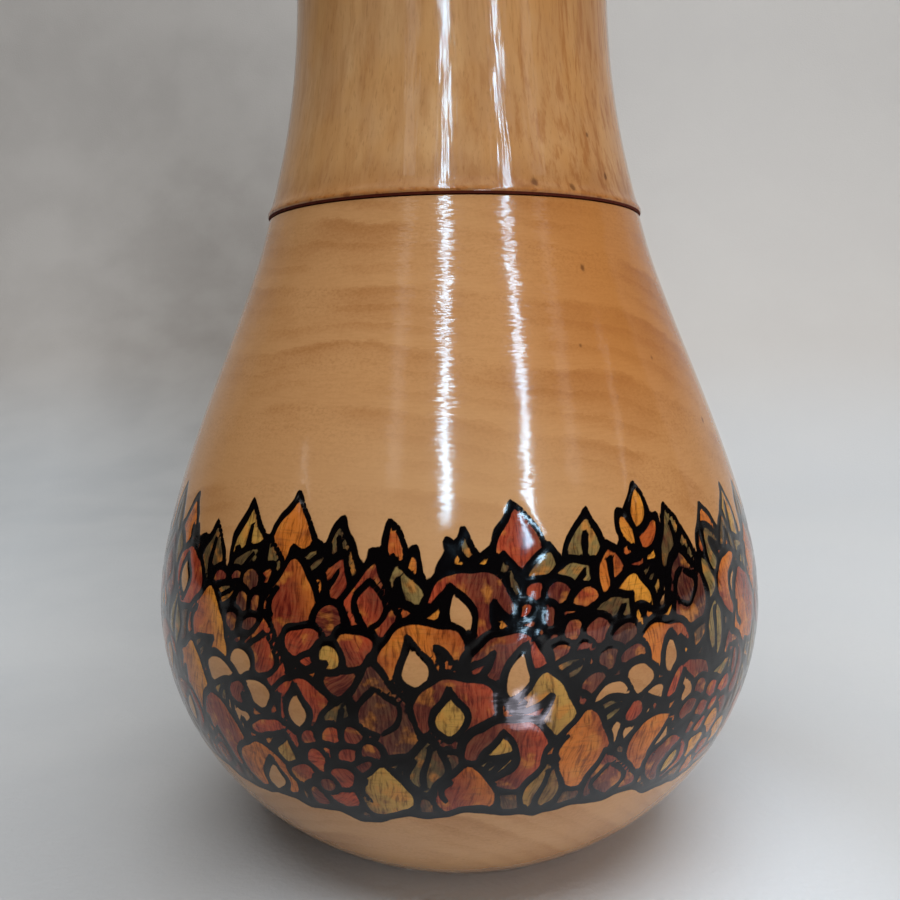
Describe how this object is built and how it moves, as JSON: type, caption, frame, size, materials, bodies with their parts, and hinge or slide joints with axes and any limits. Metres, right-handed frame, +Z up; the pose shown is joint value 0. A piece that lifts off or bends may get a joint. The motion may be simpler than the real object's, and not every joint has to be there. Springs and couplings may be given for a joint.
{
  "type": "spice box",
  "caption": "Turned wooden spice box: a hollow pear-shaped box with a painted band, and a waisted lift-off lid whose domed top is pierced for the scent.",
  "frame": {"origin": "centre of the foot, on the surface that the box stands on", "axes": "+Z up the turning axis, towards the pierced disc; +X and +Y lie in the foot's plane, and -Y is the side that the picture shows"},
  "size_m": [0.07, 0.07, 0.1238],
  "materials": {
    "box_wood": "pale wood under clear gloss lacquer, with a burned and painted band round the belly",
    "lid_wood": "slightly yellower wood under clear gloss lacquer",
    "disc_wood": "same wood as the lid, clear lacquer"
  },
  "bodies": {
    "box": {"pear_box": "box_wood"},
    "lid": {"waisted_lid": "lid_wood", "pierced_disc": "disc_wood"}
  },
  "joints": [
    {"name": "lid_lift", "type": "slide", "parent": "box", "child": "lid", "axis": [0, 0, 1], "range_m": [0, 0.07]}
  ]
}
